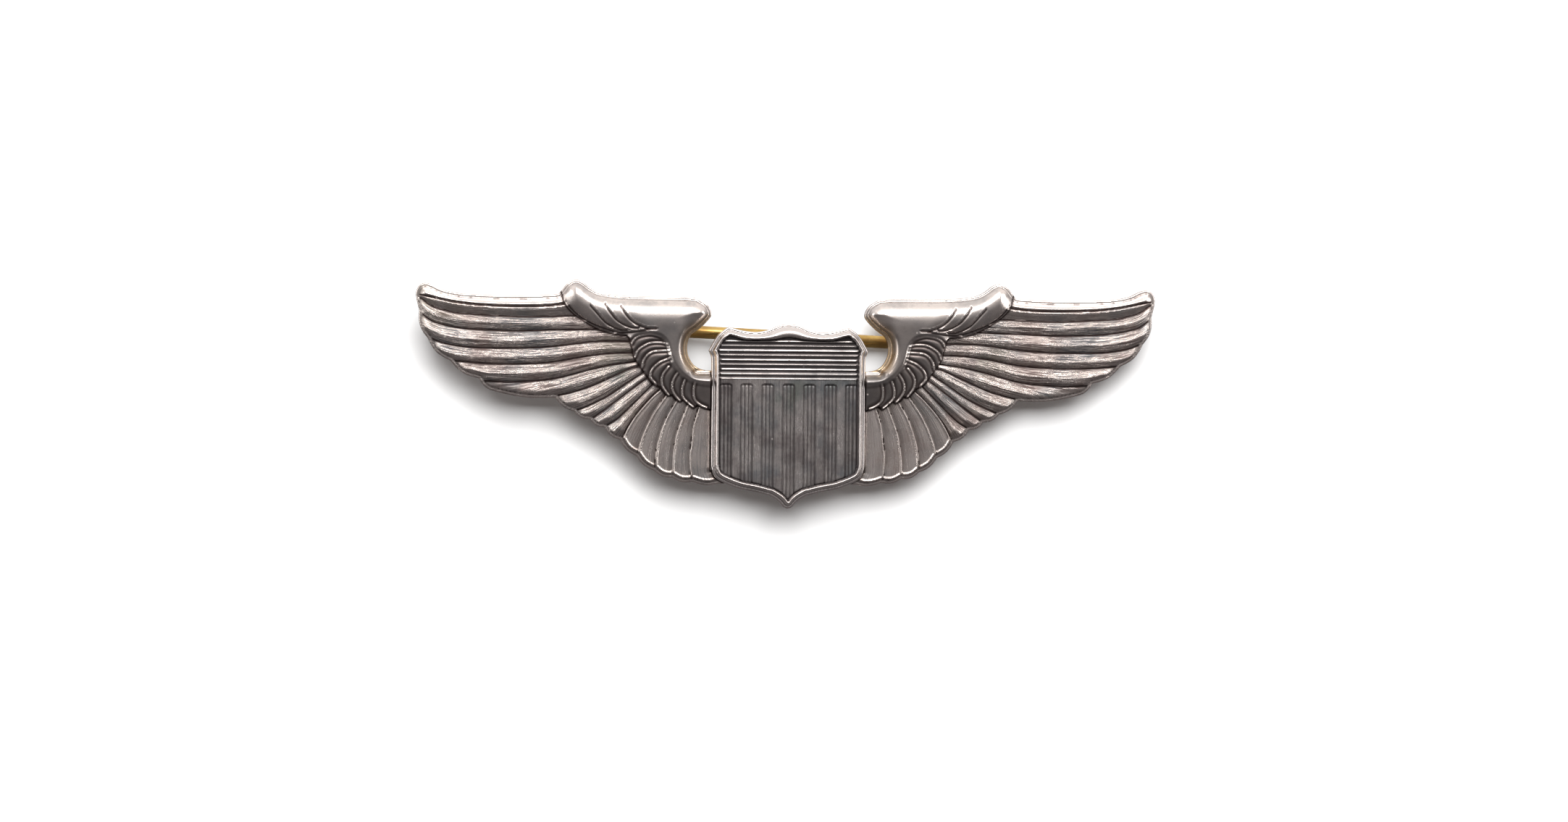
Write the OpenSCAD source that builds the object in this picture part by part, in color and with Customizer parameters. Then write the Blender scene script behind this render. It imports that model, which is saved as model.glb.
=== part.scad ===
// Winged badge with a centre shield and a brooch clasp, worn on a jacket.
// The face looks towards -Y, +X is the viewer's right, +Z is up as worn, and the
// origin is the centre of the badge's flat back. Millimetres.

/* [Wings] */
// Width from wing tip to wing tip
wing_span = 76.2; // [62:0.1:92]
// Height of the wings alone, from the lowest feather to the top of the wing bend
wing_height = 21.1; // [17:0.1:26]
// Thickness of the thin flange all round the wings
flange_t = 0.8; // [0.6:0.05:1.2]
// Height of the feathers above the flange
feather_h = 0.7; // [0.4:0.05:1]
// Height of the smooth shoulders above the flange
shoulder_h = 1.3; // [0.8:0.05:1.6]
// Width of flange left showing outside the feathers
flange_w = 0.35; // [0.2:0.05:0.6]
// Width of the groove between two feathers
groove_w = 0.3; // [0.15:0.05:0.4]
// Height of the bridge's top edge, behind the shield
bridge_top = 2.4; // [1.6:0.1:3]

/* [Shield] */
// Width across the shield's upper points
shield_w = 16.4; // [13:0.1:20]
// Height of the shield, from its top bump to its bottom point
shield_h = 18.95; // [15:0.05:23]
// Height of the shield's top bump above the badge's origin
shield_top = 7.25; // [6:0.05:8.5]
// Thickness of the shield's ground
shield_t = 1.15; // [0.8:0.05:1.6]
// Width of the shield's raised rim
rim_w = 0.75; // [0.4:0.05:1]
// Height of the rim above the ground
rim_h = 0.5; // [0.3:0.05:0.8]
// Height of the bars above the ground
bar_h = 0.25; // [0.1:0.05:0.3]
// Number of thin bars across the shield's top
chief_bars = 9; // [7:1:11]
// Distance from one of them to the next
chief_pitch = 0.48; // [0.4:0.01:0.55]
// Height of the lowest of them above the badge's origin
chief_low = 1.6; // [1:0.1:2]
// Number of upright bars under them
pale_bars = 6; // [4:2:8]
// Distance from one upright bar to the next
pale_pitch = 2.15; // [1.6:0.05:2.4]
// Width of an upright bar
pale_w = 1; // [0.6:0.05:1.3]
// Solder between the shield and the bridge
shield_solder_t = 0.08; // [0.04:0.01:0.2]
// Gap between the shield's side and the feathers round it
seat_gap = 0.05; // [0.03:0.01:0.1]

/* [Clasp] */
// Height of the pin stem above the badge's origin, at its middle
stem_z = 6; // [5:0.1:7]
// How far the stem slopes down to the viewer's right, in degrees
stem_tilt = 2.6; // [0:0.1:5]
// Distance from the badge's middle to the hinge
hinge_x = 21; // [16:0.5:24]
// Distance from the badge's middle to the catch
catch_x = 19.5; // [15:0.5:23]
// Radius of the stem
stem_r = 0.65; // [0.45:0.01:0.8]
// How much slimmer the stem is where it lies in the catch
stem_step = 0.15; // [0.1:0.01:0.2]
// How much thicker it is at its root
root_step = 0.15; // [0.1:0.01:0.2]
// Length of the root, from the rivet's middle to where the plain wire starts
root_len = 2.6; // [2.4:0.1:4]
// Length of the cone between two thicknesses of the stem
cone_len = 0.6; // [0.55:0.05:1]
// Length of the stem's point past the catch
point_len = 5; // [4:0.5:6]
// Radius at the very tip
tip_r = 0.08; // [0.05:0.01:0.15]
// Radius of the two round patches that carry the clasp
patch_r = 3.2; // [2.8:0.1:4]
// Thickness of a patch
patch_t = 0.5; // [0.3:0.05:0.8]
// Size of the solder fillet round a patch
fillet = 0.25; // [0.1:0.05:0.3]

/* [Hinge] */
// Radius of the rivet
rivet_r = 0.5; // [0.4:0.01:0.6]
// Radius of the rivet's heads
rivet_head_r = 0.85; // [0.8:0.05:1]
// Height of a rivet head
rivet_head_h = 0.35; // [0.2:0.05:0.5]
// Thickness of an ear
ear_t = 0.6; // [0.4:0.05:0.8]
// Radius of an ear's round top
ear_r = 1.25; // [1.1:0.05:1.5]
// Radius of the stem's eye
eye_r = 1.15; // [1.05:0.05:1.4]
// Thickness of the floor that joins the two ears
floor_t = 0.4; // [0.3:0.05:0.6]
// Gap between the rivet and the eye's hole
pivot_gap = 0.05; // [0.02:0.01:0.08]
// Gap between the eye and each ear
side_gap = 0.05; // [0.03:0.01:0.1]

/* [Catch] */
// Length of the catch's barrel along the stem
barrel_len = 3.2; // [2.8:0.1:4]
// Wall of the barrel
barrel_wall = 0.55; // [0.4:0.05:0.7]
// Wall of the turning sleeve inside it
sleeve_wall = 0.65; // [0.5:0.05:0.8]
// Gap between the sleeve and the barrel
sleeve_gap = 0.05; // [0.02:0.01:0.08]
// Gap between the stem's slim part and the sleeve's slot
slot_gap = 0.1; // [0.05:0.01:0.15]
// Width of the barrel's foot
foot_w = 2.4; // [2:0.1:3]
// Height of the barrel's underside above its patch
foot_h = 0.2; // [0.1:0.05:0.4]
// Length of the thumb tab along the stem
tab_len = 1.2; // [0.9:0.1:1.4]
// Thickness of the thumb tab
tab_t = 0.9; // [0.6:0.05:1]
// Reach of the thumb tab past the barrel
tab_reach = 1.3; // [0.8:0.1:1.6]
// Gap between the tab and the sides of its window
window_gap = 0.1; // [0.05:0.01:0.15]
// Turn of the sleeve from open to locked, in degrees
lock_turn = 100; // [90:5:105]

/* [Hidden] */
$fn = 48;
silver = [0.66, 0.63, 0.62];
solder_grey = [0.45, 0.44, 0.42];
brass = [0.78, 0.58, 0.25];
cut = 1;          // how far a cutting shape runs past what it cuts
smooth = 3;       // points to each span of a curve

// The wing's outline and its grooves are drawn at this size and scaled to the size asked for
drawn_span = 76.2;
drawn_height = 21.1;
drawn_shield_w = 16.4;
drawn_shield_h = 18.95;
drawn_shield_top = 7.25;
wing_scale = [wing_span / drawn_span, wing_height / drawn_height];
shield_scale = [shield_w / drawn_shield_w, shield_h / drawn_shield_h];

// The clasp's places follow from its sizes
slim_r = stem_r - stem_step;
slot_r = slim_r + slot_gap;
sleeve_r = slot_r + sleeve_wall;
bore_r = sleeve_r + sleeve_gap;
barrel_r = bore_r + barrel_wall;
stem_y = patch_t + foot_h + barrel_r;
root_r = stem_r + root_step;
eye_t = 2 * root_r;
ear_gap = eye_t + 2 * side_gap;
tab_half = asin(tab_t / 2 / bore_r) + 4;
root_x = -hinge_x + rivet_r + pivot_gap + (eye_r - rivet_r - pivot_gap) / 2;
shaft_x = -hinge_x + root_len;
slim_x = catch_x - barrel_len / 2 - 1;
point_x = catch_x + barrel_len / 2;
shield_back = flange_t + shield_solder_t;

// A smooth curve through the points of p
function spline(p, n = smooth) =
    let (last = len(p) - 1)
    [for (i = [0:last - 1], k = [0:n - 1])
        let (t = k / n,
             a = p[max(i - 1, 0)], b = p[i], c = p[i + 1], d = p[min(i + 2, last)])
        b + t * (c - a) / 2
          + t * t * (2 * a - 5 * b + 4 * c - d) / 2
          + t * t * t * (3 * b - a - 3 * c + d) / 2,
     p[last]];

// Bulging feather ends between the points of p, each standing h out to the right
function scallops(p, h, n = 5) =
    let (last = len(p) - 1)
    [for (i = [0:last - 1], k = [0:n - 1])
        let (d = p[i + 1] - p[i], out = [d.y, -d.x] / norm(d))
        p[i] + d * k / n + out * h * sin(180 * k / n),
     p[last]];

function unit_left(a, b) = let (d = (b - a) / norm(b - a)) [-d.y, d.x];

// A closed anticlockwise outline moved inwards by w
function inset(p, w) =
    let (n = len(p))
    [for (i = [0:n - 1])
        let (u = unit_left(p[(i + n - 1) % n], p[i]), v = unit_left(p[i], p[(i + 1) % n]))
        p[i] + (u + v) * w / (1 + u * v)];

// The outline of a channel of width w along the open line p
function ribbon(p, w) =
    let (n = len(p) - 1,
         side = [for (i = [0:n]) unit_left(p[max(i - 1, 0)], p[min(i + 1, n)]) * w / 2])
    concat([for (i = [0:n]) p[i] - side[i]], [for (i = [n:-1:0]) p[i] + side[i]]);

function scaled(p, s) = [for (q = p) [q.x * s.x, q.y * s.y]];

// Where the feather ends meet along the lower edge, from the shield outwards
inner_ends = [[7, -9.2], [9.75, -9], [11.8, -8.6], [13.65, -7.9], [15.5, -6.4], [17.2, -4.75],
              [18.8, -3.5], [20.25, -2.7], [21.9, -1.9], [23.85, -0.5]];
inner_bulge = 0.25;
// Lower edge of the longest feather, from the last of those points
keel = [[23.85, -0.5], [26.9, -0.5], [30, 0.1], [31.05, 0.6], [31.65, 1.4]];
// Where the long feathers' ends meet, up to the wing tip
outer_ends = [[31.65, 1.4], [34.55, 3.2], [36.85, 5.45], [37.75, 8.3]];
outer_bulge = 0.37;
// Wing tip, leading edge, bend of the wing, shoulder and the round gap beside the shield
lead = [[37.75, 8.3], [38.1, 9.9], [37.8, 10.8], [37.1, 11.1], [36.2, 10.8], [35.3, 10.4],
        [33.2, 10.05], [28.5, 9.9], [24.1, 10.05], [23.4, 10.35], [22.8, 11.1], [21.9, 11.6],
        [21.1, 11.35], [20.3, 10.75], [19.3, 10.3], [17.5, 10.05], [15, 9.95], [10.1, 9.9],
        [8.9, 9.55], [8.2, 9], [7.9, 8.2], [8.2, 7.6], [9.1, 6.7], [10, 6], [10.35, 5.1],
        [10.3, 4.05], [9.8, 3.1], [9.1, 2.6], [8.2, 2.4]];
// Inner border of the shoulder and of the small feathers under it
shoulder_border = [[0, -1.5], [8.4, -1.5], [9.8, -1.4], [11.1, -0.8], [12.3, -0.2], [13.6, 0.9],
                   [14.2, 1.7], [15.1, 2.9], [15.7, 3.9], [16.1, 5.3], [15.3, 6.3],
                   [17.4, 6.1], [19.8, 6.7], [22, 8.1], [23, 8.9], [23.3, 9.5], [24.4, 12],
                   [0, 12]];
// Grooves between the feathers, each from its outer end to its root
grooves = [[[38.5, 10.3], [37.4, 9.8], [35.8, 9.5], [31.5, 8.9], [27.9, 8.8], [22.5, 9.3]],
           [[38.5, 10], [37.6, 9.5], [36.4, 8.7], [33.9, 8.1], [27.9, 7.7], [21.5, 7.9]],
           [[38.3, 8.7], [36.7, 7.4], [33.9, 6.6], [27.9, 6.3], [23, 6.5], [18.5, 6.7]],
           [[37.4, 6], [35.1, 4.9], [31.5, 4.5], [27.9, 4.5], [20.4, 5.2], [15.5, 5.3]],
           [[35.6, 3.6], [32.7, 3], [27.9, 2.9], [24.2, 3.1], [20.4, 3.8], [15, 4.2]],
           [[32.6, 1.7], [29.7, 1.1], [27.9, 1.1], [24.2, 1.4], [20.4, 2.4], [14.8, 3.5]],
           [[24.6, -0.7], [22.4, 0], [20.4, 0.6], [16.5, 2.4], [14.4, 3.2]],
           [[22.4, -2.2], [20.4, -1.3], [18.4, -0.3], [16.5, 1.1], [14.2, 2.6]],
           [[20.6, -3], [18.4, -1.4], [16.5, 0.1], [14.7, 1.4], [13.9, 2]],
           [[19.2, -3.9], [17.5, -2.6], [16, -1.2], [14.1, 0.7], [13.5, 1.3]],
           [[17.3, -5.2], [16.4, -3.4], [15.5, -2], [14.1, -0.4], [13.2, 0.4]],
           [[15.6, -6.8], [15.1, -4.7], [14.4, -3], [13.7, -1.8], [12.6, -0.3]],
           [[13.8, -8.2], [13.5, -5.7], [13.1, -4.1], [12.5, -2.4], [11.5, -0.6]],
           [[11.8, -9], [11.7, -5.2], [11.3, -3.6], [10.6, -1.7], [10.3, -1]],
           [[9.7, -9.4], [10.1, -6.7], [9.9, -5], [9.7, -3.3], [9.2, -1.3]]];

// Half of the shield: its top edge, its upper point and its side, and its lower edge
shield_crest = [[0, 7.25], [1, 7.1], [2.2, 6.6], [3.4, 6.4], [4.8, 6.55], [6.2, 6.9]];
shield_side = [[7.3, 6], [8.2, 4.45], [7.95, 3.9], [7.9, 2.4]];
shield_foot = [[7.9, -7.2], [7.7, -8.1], [7.1, -8.8], [5.2, -9.6], [3.3, -10], [1.8, -10.4]];
shield_point = [[1, -10.9], [0.45, -11.5], [0, -11.7]];
// The ground inside the rim ends in a plain point
ground_point = [[0, -11.5]];
// How far the bridge's lower edge stays above the shield's lower corner
bridge_inset = 0.3;
shield_corner = shield_foot[2];

function shield_place(p) =
    [for (q = p) [q.x * shield_scale.x,
                  shield_top + (q.y - drawn_shield_top) * shield_scale.y]];

function shield_shape(point) =
    let (down = concat(spline(shield_crest), shield_side, spline(shield_foot), point),
         half = shield_place(down), n = len(half))
    concat([for (i = [1:n - 1]) [-half[i].x, half[i].y]],
           [for (i = [n - 2:-1:0]) half[i]]);

function shield_outline() = shield_shape(shield_point);

// The sunken ground inside a rim of width w
function shield_ground(w) = inset(shield_shape(ground_point), w);

bridge_low = shield_place([shield_corner])[0].y + bridge_inset;

function after_first(p) = [for (i = [1:len(p) - 1]) p[i]];

// One wing and its half of the bridge, anticlockwise
function wing_outline() =
    concat([[-cut, bridge_low]],
           scaled(concat(scallops(inner_ends, inner_bulge),
                         after_first(spline(keel)),
                         after_first(scallops(outer_ends, outer_bulge)),
                         after_first(spline(lead))), wing_scale),
           [[-cut, bridge_top]]);

// A flat shape in X and Z, given thickness from the depth y0 to y1 towards the viewer
module slab(y0, y1, points) {
    translate([0, -y0, 0])
        rotate([90, 0, 0])
            linear_extrude(y1 - y0) polygon(points);
}

module both_sides() {
    children();
    mirror([1, 0, 0]) children();
}

// Feathers: a pad with a groove cut between each two of them
module feathers() {
    difference() {
        slab(flange_t - 0.1, flange_t + feather_h, inset(wing_outline(), flange_w));
        for (g = grooves)
            slab(flange_t, flange_t + feather_h + cut,
                 ribbon(spline(scaled(g, wing_scale), 2), groove_w));
    }
}

module shoulder() {
    intersection() {
        slab(flange_t - 0.1, flange_t + shoulder_h, inset(wing_outline(), flange_w));
        slab(0, flange_t + shoulder_h + cut, scaled(shoulder_border, wing_scale));
    }
}

module wings_plate() {
    color(silver) {
        both_sides() slab(0, flange_t, wing_outline());
        difference() {
            both_sides() {
                feathers();
                shoulder();
            }
            slab(flange_t, flange_t + shoulder_h + cut, inset(shield_outline(), -seat_gap));
        }
    }
}

// Bars across the shield's top and upright bars under them, inside the rim
module shield_bars() {
    depth = [shield_back + shield_t - 0.1, shield_back + shield_t + bar_h];
    bar_half = chief_pitch / 4;
    low = shield_top - shield_h;
    pale_top = chief_low - chief_pitch;
    intersection() {
        slab(shield_back, shield_back + shield_t + cut, shield_ground(rim_w - 0.1));
        union() {
            for (i = [0:chief_bars - 1]) {
                z = chief_low + i * chief_pitch;
                slab(depth[0], depth[1],
                     [[-shield_w, z - bar_half], [shield_w, z - bar_half],
                      [shield_w, z + bar_half], [-shield_w, z + bar_half]]);
            }
            for (i = [0:pale_bars - 1]) {
                x = (i - (pale_bars - 1) / 2) * pale_pitch;
                slab(depth[0], depth[1],
                     [[x - pale_w / 2, low], [x + pale_w / 2, low],
                      [x + pale_w / 2, pale_top], [x - pale_w / 2, pale_top]]);
            }
        }
    }
}

module shield() {
    color(silver) {
        difference() {
            slab(shield_back, shield_back + shield_t + rim_h, shield_outline());
            slab(shield_back + shield_t, shield_back + shield_t + rim_h + cut,
                 shield_ground(rim_w));
        }
        shield_bars();
    }
}

// Thin film where the shield lies on the bridge
module shield_solder() {
    color(solder_grey)
        intersection() {
            slab(flange_t, shield_back, shield_ground(flange_w));
            slab(0, shield_back + cut,
                 [[-shield_w, bridge_low + flange_w], [shield_w, bridge_low + flange_w],
                  [shield_w, bridge_top - flange_w], [-shield_w, bridge_top - flange_w]]);
        }
}

// The clasp lies along the stem, which slopes a little. Its own X runs along the stem.
module on_stem_line() {
    translate([0, 0, stem_z]) rotate([0, stem_tilt, 0]) children();
}

// A round shape standing on the back of the badge at x, from the height y0
module standing(x, y0 = 0) {
    translate([x, y0, 0]) rotate([-90, 0, 0]) children();
}

// A round shape along the stem, from x
module along_stem(x) {
    translate([x, stem_y, 0]) rotate([0, 90, 0]) children();
}

module patch(x) {
    color(brass) on_stem_line() standing(x) cylinder(h = patch_t, r = patch_r);
}

module patch_solder(x) {
    color(solder_grey) on_stem_line() standing(x)
        rotate_extrude()
            polygon([[patch_r, 0], [patch_r + fillet, 0], [patch_r, fillet]]);
}

module hinge_patch() patch(-hinge_x);
module hinge_solder() patch_solder(-hinge_x);
module catch_patch() patch(catch_x);
module catch_solder() patch_solder(catch_x);

// Two ears on a common floor, with a hole for the rivet
module hinge_joint() {
    ear_z = ear_gap / 2;
    color(brass) on_stem_line() translate([-hinge_x, 0, 0])
        difference() {
            union() {
                translate([-ear_r, patch_t, -ear_z - ear_t])
                    cube([2 * ear_r, floor_t, ear_gap + 2 * ear_t]);
                for (z = [-ear_z - ear_t, ear_z]) {
                    translate([0, stem_y, z]) cylinder(h = ear_t, r = ear_r);
                    translate([-ear_r, patch_t, z])
                        cube([2 * ear_r, stem_y - patch_t, ear_t]);
                }
            }
            translate([0, stem_y, -ear_z - ear_t - cut])
                cylinder(h = ear_gap + 2 * ear_t + 2 * cut, r = rivet_r);
        }
}

module hinge_rivet() {
    reach = ear_gap / 2 + ear_t;
    color(brass) on_stem_line() translate([-hinge_x, stem_y, 0]) {
        translate([0, 0, -reach]) cylinder(h = 2 * reach, r = rivet_r);
        for (side = [-1, 1])
            translate([0, 0, side * (reach + rivet_head_h / 2)])
                cylinder(h = rivet_head_h, r = rivet_head_r, center = true);
    }
}

module pin_stem() {
    color(brass) on_stem_line() {
        difference() {
            translate([-hinge_x, stem_y, 0]) cylinder(h = eye_t, r = eye_r, center = true);
            translate([-hinge_x, stem_y, 0])
                cylinder(h = eye_t + cut, r = rivet_r + pivot_gap, center = true);
        }
        along_stem(root_x) cylinder(h = shaft_x - cone_len - root_x, r = root_r);
        along_stem(shaft_x - cone_len) cylinder(h = cone_len, r1 = root_r, r2 = stem_r);
        along_stem(shaft_x) cylinder(h = slim_x - cone_len - shaft_x, r = stem_r);
        along_stem(slim_x - cone_len) cylinder(h = cone_len, r1 = stem_r, r2 = slim_r);
        along_stem(slim_x) cylinder(h = point_x - slim_x, r = slim_r);
        along_stem(point_x) cylinder(h = point_len, r1 = slim_r, r2 = tip_r);
    }
}

// A slot from the stem's line out to the open side
module slot_cut(length) {
    translate([-length / 2, 0, -slot_r]) cube([length, barrel_r + cut, 2 * slot_r]);
}

// Everything between two turns about the stem's line, counted from +Y towards +Z
module sector(a0, a1, length, r) {
    step = (a1 - a0) / 4;
    points = concat([[0, 0]],
                    [for (k = [0:4]) r * [cos(a0 + k * step), sin(a0 + k * step)]]);
    rotate([90, 0, 90]) linear_extrude(length, center = true) polygon(points);
}

module catch_housing() {
    color(brass) on_stem_line() translate([catch_x, stem_y, 0])
        difference() {
            union() {
                rotate([0, 90, 0]) cylinder(h = barrel_len, r = barrel_r, center = true);
                translate([-barrel_len / 2, patch_t - stem_y, -foot_w / 2])
                    cube([barrel_len, stem_y - patch_t, foot_w]);
            }
            rotate([0, 90, 0]) cylinder(h = barrel_len + cut, r = bore_r, center = true);
            slot_cut(barrel_len + cut);
            sector(0, lock_turn + tab_half, tab_len + 2 * window_gap, 2 * barrel_r);
        }
}

// Turning sleeve with its slot open, and its thumb tab
module catch_rotor() {
    color(brass) on_stem_line() translate([catch_x, stem_y, 0])
        difference() {
            union() {
                rotate([0, 90, 0]) cylinder(h = barrel_len, r = sleeve_r, center = true);
                rotate([lock_turn, 0, 0])
                    translate([-tab_len / 2, slot_r + slot_gap, -tab_t / 2])
                        cube([tab_len, barrel_r + tab_reach - slot_r - slot_gap, tab_t]);
            }
            rotate([0, 90, 0]) cylinder(h = barrel_len + cut, r = slot_r, center = true);
            slot_cut(barrel_len + cut);
        }
}

wings_plate();
shield();
shield_solder();
hinge_patch();
hinge_solder();
hinge_joint();
hinge_rivet();
pin_stem();
catch_patch();
catch_solder();
catch_housing();
catch_rotor();
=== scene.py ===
"""Winged badge: struck silver wings and shield with a brass clasp behind them.

The relief is worked out in millimetres. Its points lie in the plane of the badge's
flat back: the first number is the distance from the middle line, the second is the
height as worn, and a point's height is measured from the back towards the viewer.
"""

import math
import bmesh
import bpy
import numpy as np
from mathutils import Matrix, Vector
from mathutils.geometry import delaunay_2d_cdt


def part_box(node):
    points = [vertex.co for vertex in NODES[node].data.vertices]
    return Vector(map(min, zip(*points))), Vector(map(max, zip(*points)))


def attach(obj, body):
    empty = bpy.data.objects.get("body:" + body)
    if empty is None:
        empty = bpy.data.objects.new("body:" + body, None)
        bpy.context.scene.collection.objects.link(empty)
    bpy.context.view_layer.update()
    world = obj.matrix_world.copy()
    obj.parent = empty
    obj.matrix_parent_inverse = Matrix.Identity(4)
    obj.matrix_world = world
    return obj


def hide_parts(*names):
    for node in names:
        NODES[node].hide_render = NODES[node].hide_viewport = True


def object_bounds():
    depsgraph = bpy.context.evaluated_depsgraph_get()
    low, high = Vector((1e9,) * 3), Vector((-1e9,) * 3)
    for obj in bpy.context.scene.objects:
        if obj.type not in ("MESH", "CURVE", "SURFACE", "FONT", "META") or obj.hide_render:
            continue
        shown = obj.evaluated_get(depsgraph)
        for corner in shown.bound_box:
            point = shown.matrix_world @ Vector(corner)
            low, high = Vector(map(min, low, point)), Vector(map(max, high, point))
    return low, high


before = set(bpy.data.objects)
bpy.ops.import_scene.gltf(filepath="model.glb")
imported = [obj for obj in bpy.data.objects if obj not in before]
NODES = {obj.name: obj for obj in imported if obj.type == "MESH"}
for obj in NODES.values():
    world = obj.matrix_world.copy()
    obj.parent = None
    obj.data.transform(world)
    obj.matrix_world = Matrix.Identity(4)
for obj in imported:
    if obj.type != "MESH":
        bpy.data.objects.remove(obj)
CAD_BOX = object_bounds()
MM = 0.001

# ---------------------------------------------------------------- plane geometry


def curve(points, step=0.12):
    """Points about a step apart on the smooth curve through the given ones."""
    p = np.array(points, float)
    last = len(p) - 1
    out = []
    for i in range(last):
        a, b, c, d = p[max(i - 1, 0)], p[i], p[i + 1], p[min(i + 2, last)]
        count = max(1, int(round(np.linalg.norm(c - b) / step)))
        t = (np.arange(count) / count)[:, None]
        out.append(b + t * (c - a) / 2 + t**2 * (2 * a - 5 * b + 4 * c - d) / 2
                   + t**3 * (3 * b - a - 3 * c + d) / 2)
    return np.vstack(out + [p[last:]])


def closed(line):
    """The loop with its first point again at its end."""
    return np.vstack([line, line[:1]])


def nearest(p, line):
    """For each point of p: its distance to the line, the side (positive is left of
    the line's run) and how far along the line its nearest point is."""
    best = np.full(len(p), 1e9)
    side = np.ones(len(p))
    along = np.zeros(len(p))
    run = 0.0
    for a, b in zip(line[:-1], line[1:]):
        d = b - a
        length = math.hypot(*d)
        if length < 1e-9:
            continue
        d = d / length
        x, y = p[:, 0] - a[0], p[:, 1] - a[1]
        t = np.clip(x * d[0] + y * d[1], 0, length)
        ox, oy = x - t * d[0], y - t * d[1]
        dist = np.hypot(ox, oy)
        near = dist < best - 1e-9
        best[near] = dist[near]
        side[near] = np.where(d[0] * y - d[1] * x >= 0, 1.0, -1.0)[near]
        along[near] = (run + t)[near]
        run += length
    return best, side, along


def inside(p, loop):
    """True for the points of p inside a closed loop."""
    hit = np.zeros(len(p), bool)
    for a, b in zip(loop, np.roll(loop, -1, axis=0)):
        if a[1] != b[1]:
            crosses = (a[1] > p[:, 1]) != (b[1] > p[:, 1])
            x = a[0] + (p[:, 1] - a[1]) / (b[1] - a[1]) * (b[0] - a[0])
            hit ^= crosses & (p[:, 0] < x)
    return hit


def ramp(x, a, b):
    """0 below a, 1 above b, smooth between."""
    t = np.clip((x - a) / (b - a), 0, 1)
    return t * t * (3 - 2 * t)


def bell(x, width):
    """1 at 0, falling smoothly to about a third at the width."""
    return np.exp(-((x / width) ** 2))


def quarter(x, radius):
    """The height of a quarter circle of the given radius, as a share of it."""
    t = np.clip(x / radius, 0, 1)
    return np.sqrt(1 - (1 - t) ** 2)


def grain(x, y, seed):
    """Smooth noise from -1 to 1 with one bump to each unit of x and y."""
    x0, y0 = np.floor(x), np.floor(y)
    fx, fy = x - x0, y - y0
    fx, fy = fx * fx * (3 - 2 * fx), fy * fy * (3 - 2 * fy)

    def value(i, j):
        n = np.sin(i * 127.1 + j * 311.7 + seed * 74.7) * 43758.5453
        return (n - np.floor(n)) * 2 - 1

    low = value(x0, y0) * (1 - fx) + value(x0 + 1, y0) * fx
    high = value(x0, y0 + 1) * (1 - fx) + value(x0 + 1, y0 + 1) * fx
    return low * (1 - fy) + high * fy


def rounded_loop(loop, step=0.12, outer=40, inner=17):
    """An anticlockwise loop with more points, smooth except at its sharp corners:
    those that turn outwards or inwards by more than so many degrees."""
    n = len(loop)
    ahead = np.roll(loop, -1, axis=0) - loop
    angle = np.degrees(np.arctan2(ahead[:, 1], ahead[:, 0]))
    turn = (angle - np.roll(angle, 1) + 180) % 360 - 180
    sharp = [i for i in range(n) if turn[i] > outer or turn[i] < -inner]
    out = []
    for i, start in enumerate(sharp):
        end = sharp[(i + 1) % len(sharp)]
        count = (end - start) % n or n
        span = np.array([loop[(start + k) % n] for k in range(count + 1)])
        out.append(curve(span, step)[:-1])
    return np.vstack(out)


def boxed(loop, lo, hi):
    """The loop kept within the X and Z of the box between two corners in metres."""
    return np.clip(loop, [lo.x / MM, lo.z / MM], [hi.x / MM, hi.z / MM])


def cad_outline(node, depth):
    """The loop of a node's flat face at the given depth (y, in mm), in X and Z."""
    mesh = bmesh.new()
    mesh.from_mesh(NODES[node].data)
    bmesh.ops.remove_doubles(mesh, verts=mesh.verts, dist=1e-7)
    level = [f for f in mesh.faces
             if all(abs(v.co.y / MM - depth) < 2e-3 for v in f.verts)]
    marked = set(level)
    following = {}
    for f in level:
        for loop in f.loops:
            if sum(o in marked for o in loop.edge.link_faces) == 1:
                following[loop.vert.index] = loop.link_loop_next.vert.index
    place = {v.index: (v.co.x / MM, v.co.z / MM) for v in mesh.verts}
    mesh.free()
    loops = []
    while following:
        first = next(iter(following))
        walk = [first]
        while following.get(walk[-1]) is not None:
            walk.append(following.pop(walk[-1]))
            if walk[-1] == first:
                break
        loops.append(np.array([place[i] for i in walk[:-1]]))
    loop = max(loops, key=len)
    x, y = loop[:, 0], loop[:, 1]
    area = (x * np.roll(y, -1) - y * np.roll(x, -1)).sum()
    return loop if area > 0 else loop[::-1]


def left_of(loop):
    """For each point of a loop, the unit vector to the left of its run."""
    ahead = np.roll(loop, -1, axis=0) - np.roll(loop, 1, axis=0)
    ahead /= np.maximum(np.linalg.norm(ahead, axis=1), 1e-9)[:, None]
    return np.stack([-ahead[:, 1], ahead[:, 0]], 1)


def stretches(line, good, least):
    """The unbroken runs of a line's good points that have at least so many of them."""
    runs, run = [], []
    for ok, point in zip(good, line):
        if ok:
            run.append(point)
        elif run:
            runs.append(np.array(run))
            run = []
    if run:
        runs.append(np.array(run))
    return [r for r in runs if len(r) >= least]


def offsets(loop, amount):
    """The stretches of an anticlockwise loop moved inwards by an amount, where no other
    part of the loop is nearer than that. A clockwise loop moves outwards."""
    moved = loop + left_of(loop) * amount
    good = nearest(moved, closed(loop))[0] > amount * 0.97
    return stretches(moved, good, 3)


# ---------------------------------------------------------------- relief meshes

THINNED = 29          # one in so many points is kept where the relief is hidden
FOOT_BEVEL = 0.05     # bevel between the wall and the back
# The material's values on the back: lightly tarnished, with no streaks
PLAIN_BACK = {"grain": (0, 0, 1), "look": (0.12, 0, 0.3), "tone": (0, 0, 0)}


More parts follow.
